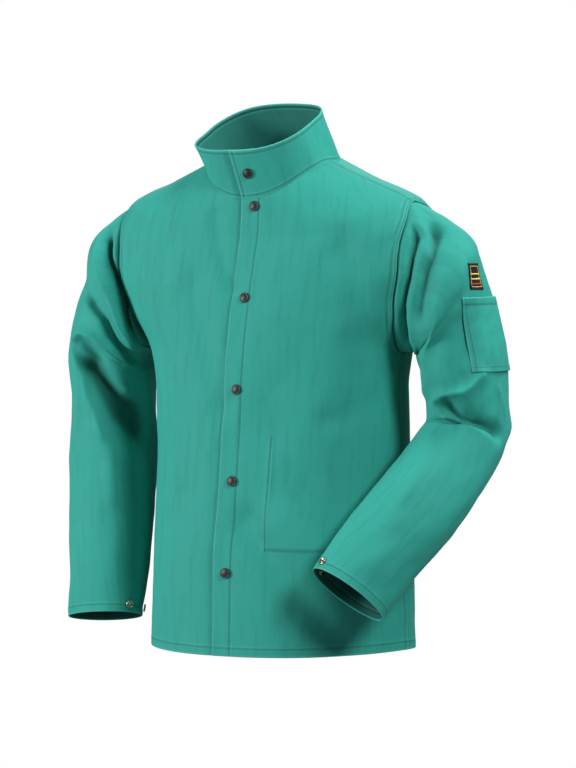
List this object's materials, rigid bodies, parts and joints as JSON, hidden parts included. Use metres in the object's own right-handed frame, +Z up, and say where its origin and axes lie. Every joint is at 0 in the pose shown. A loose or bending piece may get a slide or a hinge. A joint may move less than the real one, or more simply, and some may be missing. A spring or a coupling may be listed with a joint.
{
  "type": "welding jacket",
  "caption": "Hollow cotton work jacket in its worn form, with a stand-up collar, a snap front, long set-in sleeves, a sleeve pocket and open cuffs.",
  "frame": {"origin": "middle of the neck opening, at the level where the jacket rests on the shoulders beside the neck", "axes": "+X to the wearer's left, +Y to the wearer's back, +Z up"},
  "size_m": [0.7136, 0.3281, 0.8147],
  "materials": {
    "jacket_cloth": "matt cotton sateen with a fine weave",
    "collar_cloth": "matt cotton sateen, two layers",
    "snap_cap": "black enamel, satin",
    "snap_metal": "worn nickel over brass",
    "badge": "embroidered"
  },
  "bodies": {
    "root": {"left_front": "jacket_cloth", "right_front": "jacket_cloth", "back_panel": "jacket_cloth", "left_sleeve": "jacket_cloth", "right_sleeve": "jacket_cloth", "collar": "collar_cloth", "sleeve_pocket": "jacket_cloth", "sleeve_badge": "badge", "inside_pocket": "jacket_cloth", "front_snap_cap_1": "snap_cap", "front_snap_stud_1": "snap_metal", "front_snap_cap_2": "snap_cap", "front_snap_stud_2": "snap_metal", "front_snap_cap_3": "snap_cap", "front_snap_stud_3": "snap_metal", "front_snap_cap_4": "snap_cap", "front_snap_stud_4": "snap_metal", "front_snap_cap_5": "snap_cap", "front_snap_stud_5": "snap_metal", "collar_snap_cap": "snap_cap", "collar_snap_stud": "snap_metal", "left_cuff_snap_1": "snap_metal", "left_cuff_snap_back_1": "snap_metal", "left_cuff_snap_2": "snap_metal", "left_cuff_snap_back_2": "snap_metal", "right_cuff_snap_1": "snap_metal", "right_cuff_snap_back_1": "snap_metal", "right_cuff_snap_2": "snap_metal", "right_cuff_snap_back_2": "snap_metal"}
  },
  "joints": []
}
